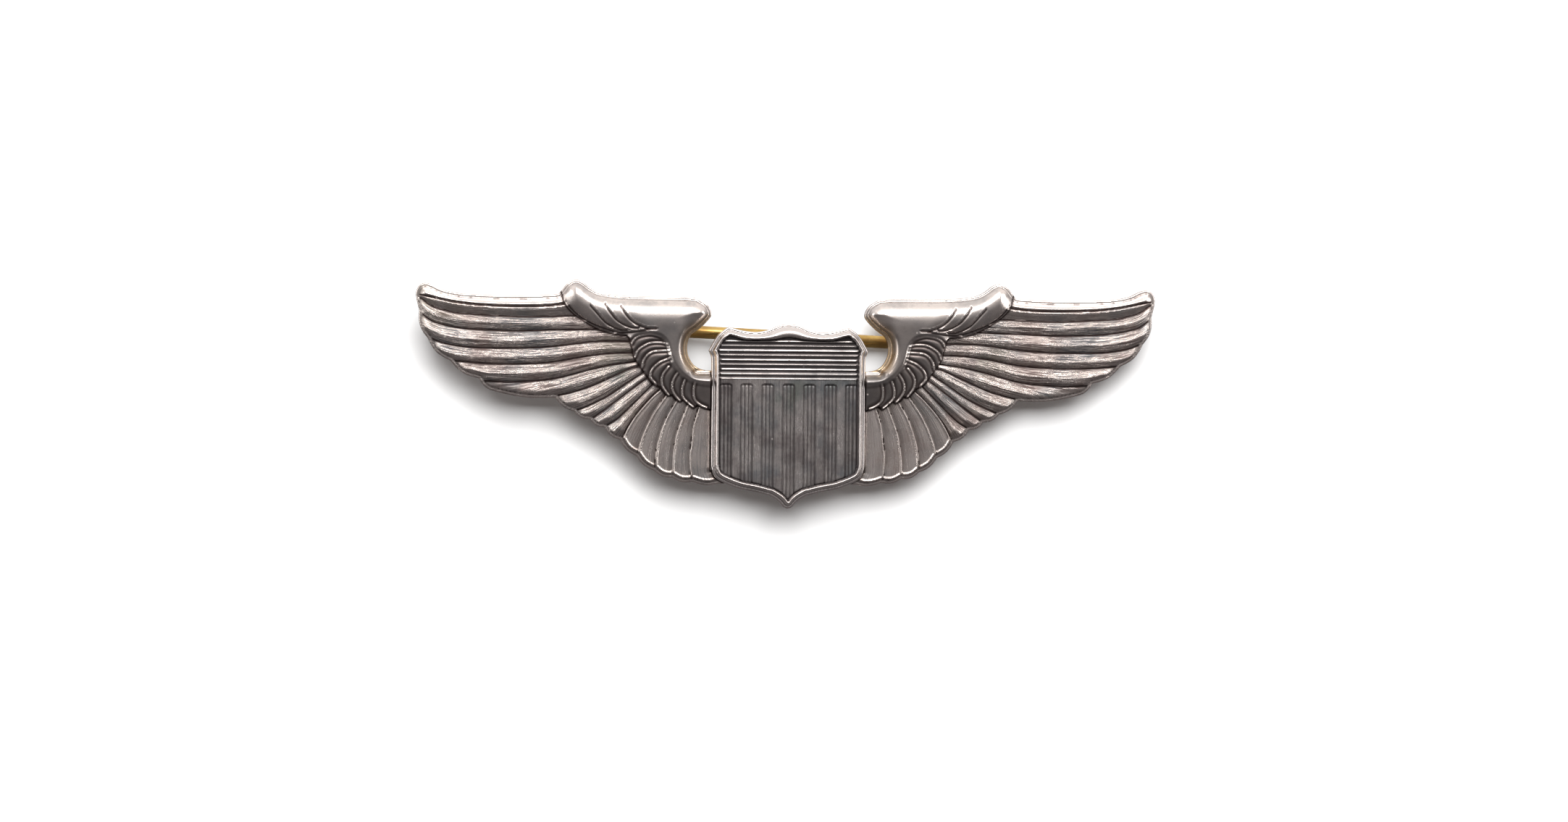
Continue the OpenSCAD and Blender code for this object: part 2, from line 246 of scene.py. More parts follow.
def hex_points(lo, hi, gap):
    """Evenly spaced points, the same on both sides of the middle line."""
    rows = np.arange(lo[1], hi[1], gap * math.sqrt(3) / 2)
    out = []
    for k, y in enumerate(rows):
        x = np.arange(gap / 4 if k % 2 else 3 * gap / 4, hi[0], gap)
        for side in (x, -x):
            out.append(np.stack([side, np.full(len(x), y)], 1))
    return np.vstack(out)


def triangulate(loop, lines, points):
    """Triangles inside the loop whose edges follow every given line."""
    verts = [loop] + lines + [points]
    edges, start = [], 0
    for k, line in enumerate(verts[:-1]):
        n = len(line)
        edges += [(start + i, start + i + 1) for i in range(n - 1)]
        if k == 0:
            edges.append((start + n - 1, start))
        start += n
    flat = [Vector((float(x), float(y))) for x, y in np.vstack(verts)]
    out, _, faces, _, _, _ = delaunay_2d_cdt(flat, edges, [], 0, 1e-5, False)
    out = np.array([(v.x, v.y) for v in out])
    faces = np.array([f for f in faces if len(f) == 3])
    centre = out[faces].mean(axis=1)
    return out, faces[inside(centre, loop)]


def relief_points(loop, lines, gap, sparse=None):
    """Points over the loop's area, clear of its edge and of the lines. Where
    sparse(points) is true, only one in THINNED of them is kept."""
    points = hex_points(loop.min(0), loop.max(0), gap)
    points = points[inside(points, loop)]
    keep = nearest(points, closed(loop))[0] > gap * 0.55
    for line in lines:
        lo, hi = line.min(0) - gap, line.max(0) + gap
        near = keep & (points > lo).all(1) & (points < hi).all(1)
        where = np.flatnonzero(near)
        keep[where[nearest(points[where], line)[0] < gap * 0.5]] = False
    points = points[keep]
    if sparse is None:
        return points
    pick = np.zeros(len(points), bool)
    pick[::THINNED] = True
    return points[~sparse(points) | pick]


def outer_ring(faces):
    """The vertices round the outer edge of the triangles, in order."""
    edges = {}
    for a, b, c in faces:
        for start, end in ((a, b), (b, c), (c, a)):
            if (end, start) in edges:
                del edges[(end, start)]
            else:
                edges[(start, end)] = True
    following = dict(edges.keys())
    walk = [next(iter(following))]
    while len(walk) < len(following):
        walk.append(following[walk[-1]])
    return np.array(walk)


def at_height(points, height):
    """The plane's points at a height above the badge's back, in metres."""
    return np.column_stack([points[:, 0], -height * np.ones(len(points)), points[:, 1]]) * MM


def strip(upper, lower):
    """Two triangles for each step along two rings of vertices."""
    ahead_up, ahead_low = np.roll(upper, -1), np.roll(lower, -1)
    return [np.column_stack([upper, lower, ahead_low]),
            np.column_stack([upper, ahead_low, ahead_up])]


def mark_crisp(mesh, first, count):
    """Make the edges of the ring of vertices first .. first + count - 1 sharp."""
    ends = np.zeros(2 * len(mesh.edges), np.int32)
    mesh.edges.foreach_get("vertices", ends)
    ends = np.sort(ends.reshape(-1, 2), axis=1) - first
    step = ends[:, 1] - ends[:, 0]
    crisp = (ends[:, 0] >= 0) & (ends[:, 1] < count) & ((step == 1) | (step == count - 1))
    layer = mesh.attributes.new("sharp_edge", "BOOLEAN", "EDGE")
    layer.data.foreach_set("value", crisp)


def relief_mesh(name, loop, lines, gap, height, sparse=None, base=0.0):
    """A closed solid: the relief over the loop's area, a wall round it with a small
    bevel at its foot, and a flat back at the height base.

    height(points) gives the heights and a dictionary of values for the material.
    sparse(points) is true where few points are needed.
    """
    flat, faces = triangulate(loop, lines, relief_points(loop, lines, gap, sparse))
    top, values = height(flat)
    used = np.unique(faces)
    renumber = np.full(len(flat), -1)
    renumber[used] = np.arange(len(used))
    flat, top, faces = flat[used], top[used], renumber[faces]
    ring = outer_ring(faces)
    wall = flat[ring]
    foot = wall + left_of(wall) * FOOT_BEVEL
    back, back_faces = triangulate(foot, [], np.zeros((0, 2)))
    if not np.allclose(back[:len(foot)], foot, atol=1e-4):
        raise ValueError("the back's rim was renumbered")
    back[:len(foot)] = foot
    verts = np.vstack([at_height(flat, top), at_height(wall, base + FOOT_BEVEL),
                       at_height(back, base)])
    first_foot = len(flat) + len(ring)
    low_ring = np.arange(len(flat), first_foot)
    foot_ring = low_ring + len(ring)
    tris = np.vstack([faces] + strip(ring, low_ring) + strip(low_ring, foot_ring)
                     + [back_faces[:, ::-1] + first_foot])
    mesh = bpy.data.meshes.new(name)
    mesh.from_pydata(verts.tolist(), [], tris.tolist())
    for key, value in values.items():
        value = value[used]
        full = np.vstack([value, value[ring], np.tile(PLAIN_BACK[key], (len(back), 1))])
        layer = mesh.attributes.new(key, "FLOAT_VECTOR", "POINT")
        layer.data.foreach_set("vector", full.astype(np.float32).ravel())
    mesh.shade_smooth()
    mark_crisp(mesh, first_foot, len(ring))  # so that the back is shaded as flat as it is
    obj = bpy.data.objects.new(name, mesh)
    bpy.context.scene.collection.objects.link(obj)
    return obj


# ---------------------------------------------------------------- the wings

WING_GAP = 0.105      # distance between the mesh's points
FLANGE = 0.8          # height of the thin edge all round
FLANGE_W = 0.33       # its width
FLANGE_ROUND = 0.1    # how far its outer edge is rounded off
GROOVE = 0.9          # height at the bottom of a groove between feathers
BODY = 1.26           # height of the shoulder above the flange
RIDGE = 0.30          # height of a feather's ridge, as a share of its width
RIDGE_MOST = 0.46     # greatest height of a ridge
STREAK_H = 0.035      # height of the fine streaks along the feathers
SHINGLES = 11         # from this feather inwards they overlap like shingles
LEAF_RIM = 0.18       # height of the thin rim round each of those
SLIT_DEPTH = 0.15     # depth of the lines engraved on the shoulder
EDGE_SLIT_DEPTH = 0.09
SLIT_LIP = 0.06       # height of the raised lip beside a line
SCALE_H = 0.74        # height of the small feathers above the flange
SCALE_RIM = 0.12      # height of their rims

# Grooves between the feathers, each from its outer end to its root
GROOVES = [
    [(38.5, 10.1), (37.4, 9.8), (35.8, 9.5), (33.9, 9.15), (31.5, 8.9), (27.9, 8.8),
     (24.8, 8.88), (23.1, 9.1), (22, 9.4)],
    [(38.5, 9.9), (37.6, 9.5), (36.4, 8.7), (35.1, 8.3), (33.9, 8.05), (31.5, 7.87),
     (27.9, 7.72), (24.8, 7.77), (22.5, 7.86), (21, 7.9)],
    [(38.3, 8.7), (37.5, 8.0), (36.7, 7.35), (35.7, 6.95), (33.9, 6.58), (31.5, 6.36),
     (27.9, 6.27), (23, 6.45), (20.7, 6.5), (18.5, 6.6)],
    [(37.4, 6.0), (36.4, 5.4), (35.1, 4.93), (33.3, 4.64), (31.5, 4.53), (27.9, 4.5),
     (24.2, 4.72), (20.4, 5.2), (18.4, 5.3), (15.5, 5.3)],
    [(35.6, 3.6), (34.5, 3.25), (32.7, 3.03), (30.3, 2.9), (27.9, 2.9), (24.2, 3.12),
     (20.4, 3.8), (17.9, 4.08), (15, 4.2)],
    [(32.6, 1.7), (31.6, 1.23), (29.7, 1.1), (27.9, 1.08), (24.2, 1.38), (20.4, 2.37),
     (17.9, 2.94), (16.2, 3.16), (14.8, 3.4)],
    [(24.6, -0.75), (23.85, -0.35), (22.4, 0.0), (20.4, 0.63), (18.45, 1.49),
     (16.5, 2.4), (15.6, 2.71), (14.4, 3.0)],
    [(22.5, -2.1), (21.8, -1.83), (20.4, -1.27), (18.45, -0.26), (16.5, 1.06),
     (15.2, 1.92), (14.2, 2.6)],
    [(20.5, -2.9), (19.9, -2.5), (18.45, -1.45), (16.5, 0.06), (14.7, 1.42),
     (13.9, 2.0)],
    [(19.1, -3.75), (18.65, -3.35), (17.5, -2.62), (16, -1.18), (14.1, 0.73),
     (13.5, 1.3)],
    [(17.5, -5.3), (16.97, -4.6), (16.4, -3.4), (15.5, -2.03), (14.1, -0.42),
     (13.2, 0.4)],
    [(15.6, -6.7), (15.4, -6.0), (15.05, -4.67), (14.37, -3.02), (13.7, -1.77),
     (12.9, -0.6), (12.5, 0)],
    [(13.7, -8.2), (13.6, -7.2), (13.5, -5.75), (13.1, -4.06), (12.5, -2.45),
     (11.76, -1.1), (11.4, -0.5)],
    [(11.8, -9.0), (11.85, -7.2), (11.67, -5.24), (11.3, -3.64), (10.6, -1.74),
     (10.3, -1)],
    [(9.8, -9.5), (10.1, -6.7), (9.93, -5.04), (9.75, -3.34), (9.4, -2.1), (9.2, -1.3)],
]
# Where across each feather its crest lies, from its upper groove to its lower one
CRESTS = [0.74, 0.16, 0.44, 0.54, 0.56, 0.52, 0.56, 0.5, 0.5, 0.48, 0.46,
          0.3, 0.3, 0.3, 0.3, 0.3]
# Lower edge of the shoulder and of the small feathers under it, down to the shield
BORDER = [
    (23.9, 11.6), (23.3, 10.5), (23.05, 9.5), (22.7, 8.8), (22, 8.1), (21, 7.4),
    (19.8, 6.72), (18.5, 6.22), (17.45, 6.03), (16.6, 5.95), (16.3, 5.6),
    (16.15, 5.1), (15.95, 4.4), (15.8, 3.7), (15.3, 2.9), (15.05, 2.55), (14.5, 1.8),
    (14.2, 1.3), (13.6, 0.85), (13.2, 0.7), (12.9, 0.35), (12.3, -0.2), (11.9, -0.1),
    (11.7, -0.4), (11.1, -0.8), (10.8, -0.6), (10.3, -1.0), (9.7, -1.45),
    (9.3, -1.15), (8.4, -1.5), (6.5, -1.9),
]
# Engraved lines on the shoulder
SLITS = [
    [(20.2, 8.9), (19.7, 8.35), (19.04, 7.6), (18.45, 7.1), (17.47, 6.64), (16.5, 6.55)],
    [(18.7, 9.1), (18.3, 8.4), (17.67, 7.62), (16.98, 7.15), (16.2, 6.83), (15.5, 6.75)],
    [(17.1, 8.9), (16.7, 8.2), (16.2, 7.6), (15.5, 7.1), (14.5, 6.73), (13.7, 6.72)],
]
EDGE_SLIT = [(22.4, 8.95), (21.8, 8.3), (20.9, 7.62), (19.5, 6.97), (17.9, 6.44),
             (16.6, 6.3), (15.5, 6.42), (14.5, 6.6)]
# Raised rims of the small feathers under the shoulder, each from its tip to the neck
SCALES = [
    [(16.1, 5.05), (15.85, 5.5), (15.26, 5.86), (14.2, 6.05), (13.5, 5.93), (12.8, 5.7)],
    [(15.75, 3.7), (15.5, 4.3), (15.06, 4.71), (14.2, 5.13), (13.1, 5.18), (12.4, 5.0)],
    [(15.05, 2.65), (14.85, 3.4), (14.4, 4.0), (13.8, 4.28), (13, 4.35), (12.2, 4.4)],
    [(13.6, 0.95), (14.18, 1.7), (13.95, 2.5), (13.3, 3.12), (12.9, 3.33), (12.2, 3.6)],
    [(12.3, -0.15), (12.85, 0.6), (13.02, 1.33), (12.85, 2.0), (12.3, 2.75)],
    [(11.13, -0.73), (11.6, -0.2), (11.93, 0.5), (11.85, 1.3), (11.4, 2.1)],
    [(9.75, -1.37), (10.4, -0.85), (10.85, -0.3), (10.9, 0.5), (10.65, 1.4)],
    [(8.4, -1.42), (9.1, -1.1), (9.6, -0.6), (9.75, 0.2), (9.6, 1.2)],
]
# Where the small feathers end at the neck
ROOTS = [(16.9, 6.0), (15.9, 6.2), (14.9, 6.35), (13.9, 6.3), (13.0, 6.0), (12.4, 5.4),
         (12.1, 4.6), (11.9, 3.8), (11.5, 3.0), (10.9, 2.2), (10.2, 1.7), (9.2, 1.35),
         (8, 1.2), (6.5, 1.1)]
SEAT = 0.04           # seam between the shield's side and the feathers
SEAT_W = 0.07         # width of the step from the seam up to the feathers


def crest_line(k):
    """The crest of feather k, between the grooves on its two sides."""
    upper, lower = [curve(g, 0.2)[::-1] for g in (GROOVES[k - 1], GROOVES[k])]
    u = np.arange(max(upper[0, 0], lower[0, 0]), min(upper[-1, 0], lower[-1, 0]), 0.15)
    v = [np.interp(u, line[:, 0], line[:, 1]) for line in (upper, lower)]
    return np.column_stack([u, v[0] * (1 - CRESTS[k]) + v[1] * CRESTS[k]])


def beside(line, shift):
    """The line moved to its left by a shift."""
    ahead = np.gradient(line, axis=0)
    ahead /= np.linalg.norm(ahead, axis=1)[:, None]
    return line + np.stack([-ahead[:, 1], ahead[:, 0]], 1) * shift


def wing_lines(outline, shield_loop):
    """The lines that the wing's triangles have to follow, for the right wing."""
    lines = [curve(g, 0.2) for g in GROOVES]
    lines += [crest_line(k) for k in range(1, SHINGLES)]
    for groove in GROOVES[SHINGLES - 1:]:
        lines += [beside(curve(groove, 0.2), shift) for shift in (0.05, 0.15)]
    lines += [curve(s, 0.15) for s in SLITS + SCALES]
    lines.append(curve(EDGE_SLIT, 0.15))
    border = curve(BORDER, 0.15)
    lines += [beside(border, shift) for shift in (-0.05, 0.05)]
    for amount in (FLANGE_ROUND, FLANGE_W - 0.03, FLANGE_W + 0.09):
        lines += offsets(outline, amount)
    for amount in (SEAT, SEAT + SEAT_W):
        lines += offsets(shield_loop[::-1], amount)
    kept = []
    for line in lines:
        clear = inside(line, outline) & (nearest(line, closed(outline))[0] > 0.05)
        kept += stretches(line, clear, 2)
    return kept


def feather_relief(q, pad, d_shield):
    """Height of the feathers without their barbs, and what else is known at each point."""
    signed = []
    for g in GROOVES:
        dist, side, _ = nearest(q, curve(g, 0.35))
        signed.append(dist * side)
    signed = np.array(signed)
    index = (signed > 0).sum(0)
    every = np.arange(len(q))
    last = len(GROOVES)
    upper = np.where(index > 0, np.abs(signed)[np.maximum(index - 1, 0), every],
                     np.maximum(pad, 0))
    lower = np.where(index < last, np.abs(signed)[np.minimum(index, last - 1), every],
                     np.maximum(d_shield, 0))
    width = upper + lower + 1e-6
    across = upper / width
    crest = np.array(CRESTS)[index]
    rising = np.clip(across / crest, 0, 1)
    falling = np.clip((1 - across) / (1 - crest), 0, 1)
    ridge = np.where(across < crest, 0.4 * rising + 0.6 * rising**1.7, falling**0.8)
    height = GROOVE + np.minimum(RIDGE_MOST, RIDGE * width) * ridge
    # the inner feathers are flat leaves with a thin raised rim
    leaf = index >= SHINGLES
    tip_rim = bell(np.maximum(pad, 0) - 0.18, 0.08)
    rim = np.maximum(bell(upper - 0.14, 0.075), tip_rim)
    swell = 0.22 - 0.16 * across + 0.12 * np.sin(math.pi * across)
    shingle = GROOVE + ramp(upper, 0.02, 0.13) * swell + LEAF_RIM * rim
    height = np.where(leaf, shingle, height)
    tip = np.clip(pad / np.where(leaf, 0.22, 0.75), 0, 1)
    height = FLANGE + (height - FLANGE) * (0.4 + 0.6 * (1 - (1 - tip) ** 2))
    barbs = np.where(leaf, 0.35, 1.0) * np.where(index == 0, 0.15, 1.0) \
        * np.where(index == 1, 0.35, 1.0) * ramp(width, 0.4, 1.0) * (0.3 + 0.7 * tip)
    # Painted shade and tarnish in the grooves; painted shade on each feather's lower flank and
    # towards the lower side of each leaf, less on the leaves' rims
    groove = bell(np.minimum(upper, np.where(leaf, 9, lower)), 0.12)
    flank_shade = np.where(leaf, 0.1 + 0.2 * ramp(across, 0.5, 1.0),
                     0.35 * ramp(across, crest - 0.05, crest + 0.3))
    return height, {
        "reach": np.hypot(q[:, 0] - 13.5, q[:, 1] - 4.5),
        "place": index + across,
        "barbs": barbs,
        "dark": np.maximum(groove, flank_shade) * (1 - 0.9 * np.where(leaf, rim, 0)),
        "polish": np.where(leaf, 0.5 + 1.3 * rim, 0.25 + 0.6 * ridge)}


def shoulder_relief(q, pad, feather, d_border):
    """Height of the shoulder, the neck and the small feathers, with painted shade and with
    polish that is a painted highlight towards the top.
    """
    spread = 1.1 + 1.5 * ramp(q[:, 1], 6.1, 8.3)
    t = np.clip(pad / spread, 0, 1)
    dome = 0.7 * (1 - (1 - t) ** 3) + 0.3 * quarter(pad, 0.5)
    skirt = 0.42 + 0.58 * (1 - (1 - np.clip(d_border / 2.6, 0, 1)) ** 2)
    body = FLANGE + BODY * dome * skirt
    # Painted shade along the shoulder's lower edge and darker towards its bottom; less tarnish
    # towards its top, a painted highlight
    dark = np.maximum(0.45 * bell(d_border, 0.8), 0.42 * ramp(q[:, 1], 8.1, 6.8))
    polish = 0.5 * ramp(q[:, 1], 6.5, 8.5)
    # engraved lines, each with a thin raised lip on its upper side
    for slit, depth in [(k, SLIT_DEPTH) for k in SLITS] + [(EDGE_SLIT, EDGE_SLIT_DEPTH)]:
        dist, side, along = nearest(q, curve(slit, 0.2))
        fade = ramp(along, 0, 1.2) * 0.6 + 0.4
        line = dist * side
        body -= depth * fade * bell(line - 0.11, 0.12)
        body += SLIT_LIP * fade * bell(line + 0.07, 0.06)
        # Painted shade and tarnish inside the engraved line
        dark = np.maximum(dark, 0.85 * bell(line - 0.13, 0.12))
        polish = np.maximum(polish, bell(line + 0.07, 0.06))
    # the small feathers: flat and sunken, each with a thin raised rim
    d_root, side, _ = nearest(q, curve(ROOTS, 0.2))
    small = ramp(np.where(side > 0, d_root, -d_root), -0.1, 0.55)
    level = FLANGE + SCALE_H + 0.12 * ramp(d_border, 0, 2.4)
    d_rim = np.min([nearest(q, curve(s, 0.15))[0] for s in SCALES], axis=0)
    rims = bell(d_rim, 0.08)
    scales = level + SCALE_RIM * rims + 0.09 * ramp(d_rim, 0.1, 0.5)
    body = body * (1 - small) + scales * small
    # Painted shade over the small feathers' flat insides, darkest beside each rim and none on
    # the rim
    scale_shade = 0.8 - 0.24 * ramp(d_rim, 0.15, 0.45) - 0.8 * rims
    dark = np.maximum(dark * (1 - small), small * np.clip(scale_shade, 0, 1))
    polish = np.where(small > 0.5, rims, polish)
    return np.maximum(body, feather + 0.1), dark, polish


def wing_height(p, outline, shield_loop):
    """Height of the wings at each point, and the point's values for the material:
    grain = (distance from the fan's root, place across the feathers, side);
    look = (painted shade, with tarnish in the grooves; strength of the barbs; polish); tone =
    (gilt, cool, 0).

    The wings are worked out once, folded onto the right side. Only the streaks differ
    from one side to the other."""
    folded = np.column_stack([np.abs(p[:, 0]), p[:, 1]]).round(5)
    q, unfold = np.unique(folded, axis=0, return_inverse=True)
    unfold = unfold.ravel()
    d_out = nearest(q, closed(outline))[0]
    d_shield = nearest(q, closed(shield_loop))[0]
    d_shield = np.where(inside(q, shield_loop), -d_shield, d_shield)
    pad = d_out - FLANGE_W
    feather, info = feather_relief(q, pad, d_shield)
    d_border, side, _ = nearest(q, curve(BORDER, 0.2))
    in_body = side < 0
    body, body_shade, body_polish = shoulder_relief(q, np.maximum(pad, 0), feather, d_border)
    step = ramp(np.where(in_body, d_border, -d_border), -0.05, 0.05)
    above = feather * (1 - step) + body * step

    edge_round = FLANGE - FLANGE_ROUND * (1 - ramp(d_out, 0.0, FLANGE_ROUND))
    on_pad = ramp(d_out, FLANGE_W - 0.03, FLANGE_W + 0.09)
    height = edge_round * (1 - on_pad) + above * on_pad
    free = ramp(d_shield, SEAT, SEAT + SEAT_W)
    height = np.where(d_shield < SEAT, np.minimum(height, edge_round),
                      FLANGE * (1 - free) + height * free)
    barbed = info["barbs"] * on_pad * (1 - step) * free

    sign = np.where(p[:, 0] < 0, -1.0, 1.0)
    reach, place = info["reach"][unfold], info["place"][unfold]
    wander = place + 0.07 * grain(reach * 0.35 + sign * 3, place * 1.5, 5)
    streak = grain(reach * 0.35 + sign * 9, wander * 6.5, 3)
    height = height[unfold] + STREAK_H * streak * barbed[unfold]

    dark = np.where(in_body, body_shade, info["dark"])
    # Painted shade: dark along the foot of the step up from the flange, along the shoulder's
    # lower edge and along the seam with the shield
    dark = np.maximum.reduce([
        dark * on_pad, 0.7 * bell(pad - 0.03, 0.07),
        np.where(in_body, 0, 0.95 * bell(d_border, 0.2)), 0.9 * bell(d_shield, 0.15)])
    polish = np.where(in_body, body_polish, info["polish"]) * on_pad + 0.8 * (1 - on_pad)
    gilt = bell(d_out, 0.75) * ramp(q[:, 0], 11.6, 10.4) * ramp(q[:, 1], 2.1, 2.5) \
        * ramp(q[:, 1], 8.6, 7.4)
    cool = np.where(in_body, 0.7, 0.0)
    values = {
        "grain": np.column_stack([reach, place, sign]),
        "look": np.column_stack([dark, np.where(in_body, 0, info["barbs"]), polish])[unfold],
        "tone": np.column_stack([gilt, cool, 0 * cool])[unfold],
    }
    return height, values


def make_wings():
    """The wings' mesh, on the outline of the CAD node's back."""
    outline = boxed(rounded_loop(cad_outline("wings_plate", 0.0)), *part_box("wings_plate"))
    shield_loop = rounded_loop(cad_outline("shield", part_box("shield")[1].y / MM))
    lines = []
    for line in wing_lines(outline, shield_loop):
        right = line[line[:, 0] > 0.05]
        if len(right) > 1:
            lines += [right, right * [-1, 1]]
    lines = [k for k in lines if inside(k, outline).all()]

    def hidden(p):
        return inside(p, shield_loop) & (nearest(p, closed(shield_loop))[0] > 0.4)

    return relief_mesh("silver_wings", outline, lines, WING_GAP,
                       lambda p: wing_height(p, outline, shield_loop), hidden)


# ---------------------------------------------------------------- the shield

SHIELD_GAP = 0.085    # distance between the mesh's points
BARS = 9              # thin bars across the top
BAR_LOW = 1.6         # place of the lowest one
BAR_PITCH = 0.48
BAR_HALF = 0.12       # half a bar's width
BAR_H = 0.13
WIDE_BARS = 2         # the lowest ones are wider and higher
WIDE_HALF = 0.17
WIDE_H = 0.2
BANDS = 7             # sunken upright bands under them
BAND_PITCH = 2.15
BAND_W = 1.2
BAND_DEPTH = 0.13
BAND_SOFT = 0.1       # width of a band's sloping side
LEDGE = 0.3           # width of the flat ledge outside the rim
LEDGE_ROUND = 0.1     # width of its rounded outer edge
LEDGE_DROP = 0.12     # how far that edge falls
LEDGE_H = 0.85        # height of the ledge above the shield's back
GROUND_H = 0.95       # height of the sunken ground above the shield's back
RIM = 0.8             # distance from the shield's edge to its ground
RIM_CREST = 0.6       # distance from the edge to the rim's crest
FIELD_SOFT = 0.08     # distance over which bars and bands begin inside the rim


def shield_ground_top(x):
    """Height of the ground's upper end, which waves less than the shield's top edge."""
    return 5.52 + 0.28 * bell(x, 1.5) + 0.45 * ramp(np.abs(x), 4.2, 6.4)


def shield_rim(d_edge, d_top, near_top, base, top):
    """Height of the ledge and the rim, which is wider along the top edge."""
    ledge, ground = base + LEDGE_H, base + GROUND_H
    inner = np.where(near_top, np.maximum(d_edge - d_top, RIM), RIM)
    t = (d_edge - LEDGE) / (inner - LEDGE)
    crest = np.where(near_top, 0.72, (RIM_CREST - LEDGE) / (RIM - LEDGE))
    outer_flank = np.sqrt(np.clip(1 - (1 - np.clip(t / crest, 0, 1)) ** 2, 0, 1))
    inner_flank = 1 - np.clip((t - crest) / (1 - crest), 0, 1) ** 2
    rim = np.where(t < crest, ledge + (top - ledge) * outer_flank,
                   ground + (top - ground) * inner_flank)
    drop = LEDGE_DROP * (1 - ramp(d_edge, 0, LEDGE_ROUND))
    return np.where(t < 0, ledge - drop, rim)


def chief_bars(x, z):
    """Height of the bars across the top, and how near each point is to a bar's crest."""
    k = np.clip(np.round((z - BAR_LOW) / BAR_PITCH), 0, BARS - 1)
    off = z - (BAR_LOW + k * BAR_PITCH)
    wide = k < WIDE_BARS
    bar = np.sqrt(np.clip(1 - (off / np.where(wide, WIDE_HALF, BAR_HALF)) ** 2, 0, 1))
    wobble = 1 + 0.1 * grain(x * 1.3, k * 7.7, 4)
    return np.where(wide, WIDE_H, BAR_H) * bar * wobble, bar


def upright_bands(x, z):
    """Height of the sunken bands, each with fine ribs, and how dark each point is painted:
    evenly darker over the bands, with painted shade and tarnish between the ribs and painted
    shade along the bands' edges.
    """
    n = np.clip(np.round(x / BAND_PITCH), -(BANDS // 2), BANDS // 2)
    xb = x - n * BAND_PITCH
    round_top = BAR_LOW - 0.5 - np.maximum(np.abs(xb) - 0.3, 0) ** 2 * 2.0
    edge = BAND_W / 2 - np.abs(xb)
    sunk = ramp(edge, 0.0, BAND_SOFT) * ramp(round_top - z, 0.0, 0.12)
    ribs = 0.5 + 0.5 * np.cos(np.clip(xb / 0.2, -3, 3) * math.pi)
    height = BAND_DEPTH + 0.012 * grain(x * 9, z * 0.6, 21) - BAND_DEPTH * sunk \
        + 0.055 * ribs * sunk * ramp(round_top - z, 0.1, 0.35)
    # Evenly darker over the bands; painted shade and tarnish between the ribs, painted shade
    # along the bands' edges
    seams = bell(edge, 0.08) * (z < round_top + 0.1)
    return height, 0.3 + 0.35 * sunk * (1 - ribs) + 0.45 * seams


def shield_height(p, loop, base, top):
    """Height of the shield at each point, and the point's values for the material:
    grain = (height as worn, distance from the middle line, field);
    look = (painted shade, with tarnish in the recesses; strength of the streaks; polish); tone
    is plain."""
    d_edge = nearest(p, closed(loop))[0]
    x, z = p[:, 0], p[:, 1]
    d_top = shield_ground_top(x) - z
    near_top = (z > 4.6) & (np.abs(x) < 6.6)
    depth = np.where(near_top, np.minimum(d_top, d_edge - RIM), d_edge - RIM)
    chief = z > BAR_LOW - 0.1
    bars, bar = chief_bars(x, z)
    bands, band_shade = upright_bands(x, z)
    field = np.where(chief, bars, bands) * ramp(depth, -0.02, 0.14)
    height = np.where(depth > 0, base + GROUND_H + field,
                      shield_rim(d_edge, d_top, near_top, base, top))
    in_field = ramp(depth, 0.0, FIELD_SOFT)
    # Painted shade and tarnish where the ground meets the rim, at the rim's outer foot and
    # between the bars; the bands' painted shade comes from upright_bands
    dark = np.maximum.reduce([
        0.9 * bell(depth, 0.1), 0.5 * bell(d_edge - LEDGE, 0.05),
        np.where(chief, 0.75 * (1 - bar), band_shade) * in_field])
    polish = np.where(in_field > 0.5, bar**2 * chief, 1.5)
    values = {
        "grain": np.column_stack([z, x, np.where(chief, 1.0, 2.0)]),
        "look": np.column_stack([dark, np.where(chief, 0.15, 0.35) * in_field, polish]),
        "tone": np.zeros((len(p), 3)),
    }
    return height, values


def shield_lines(loop):
    """The lines that the shield's triangles have to follow."""
    lines = []
    for amount in (LEDGE_ROUND, LEDGE, RIM_CREST, RIM, RIM + 0.1):
        lines += offsets(loop, amount)
    x = np.arange(-6.5, 6.51, 0.15)
    for drop in (0.0, 0.1):
        lines.append(np.column_stack([x, shield_ground_top(x) - drop]))
    field = []
    x = np.arange(-7.6, 7.61, 0.2)
    for k in range(BARS):
        half = WIDE_HALF if k < WIDE_BARS else BAR_HALF
        for off in (-half, 0.0, half):
            field.append(np.column_stack([x, np.full(len(x), BAR_LOW + k * BAR_PITCH + off)]))
    z = np.arange(-11, 0.6, 0.2)
    for n in range(-(BANDS // 2), BANDS // 2 + 1):
        for off in (-BAND_W / 2, -BAND_W / 2 + BAND_SOFT, BAND_W / 2 - BAND_SOFT, BAND_W / 2):
            field.append(np.column_stack([np.full(len(z), n * BAND_PITCH + off), z]))
    for line in field:
        clear = inside(line, loop) & (nearest(line, closed(loop))[0] > RIM + FIELD_SOFT)
        if clear.sum() > 1:
            lines.append(line[clear])
    return lines


def make_shield():
    """The shield's mesh, on the outline of the CAD node's back."""
    lo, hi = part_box("shield")
    base, top = -hi.y / MM, -lo.y / MM
    loop = boxed(rounded_loop(cad_outline("shield", hi.y / MM)), lo, hi)
    return relief_mesh("silver_shield", loop, shield_lines(loop), SHIELD_GAP,
                       lambda p: shield_height(p, loop, base, top), base=base)


# ---------------------------------------------------------------- materials


# Depths of the bumps on the silver, in metres
SPECKS_DEPTH = 0.000006
STREAKS_DEPTH = 0.00011
# Casts of the tarnish, and the brassy one in the notch beside the shield
COOL_TARNISH = (0.27, 0.29, 0.31, 1)
GREEN_TARNISH = (0.27, 0.29, 0.22, 1)
GILT = (0.62, 0.44, 0.22, 1)


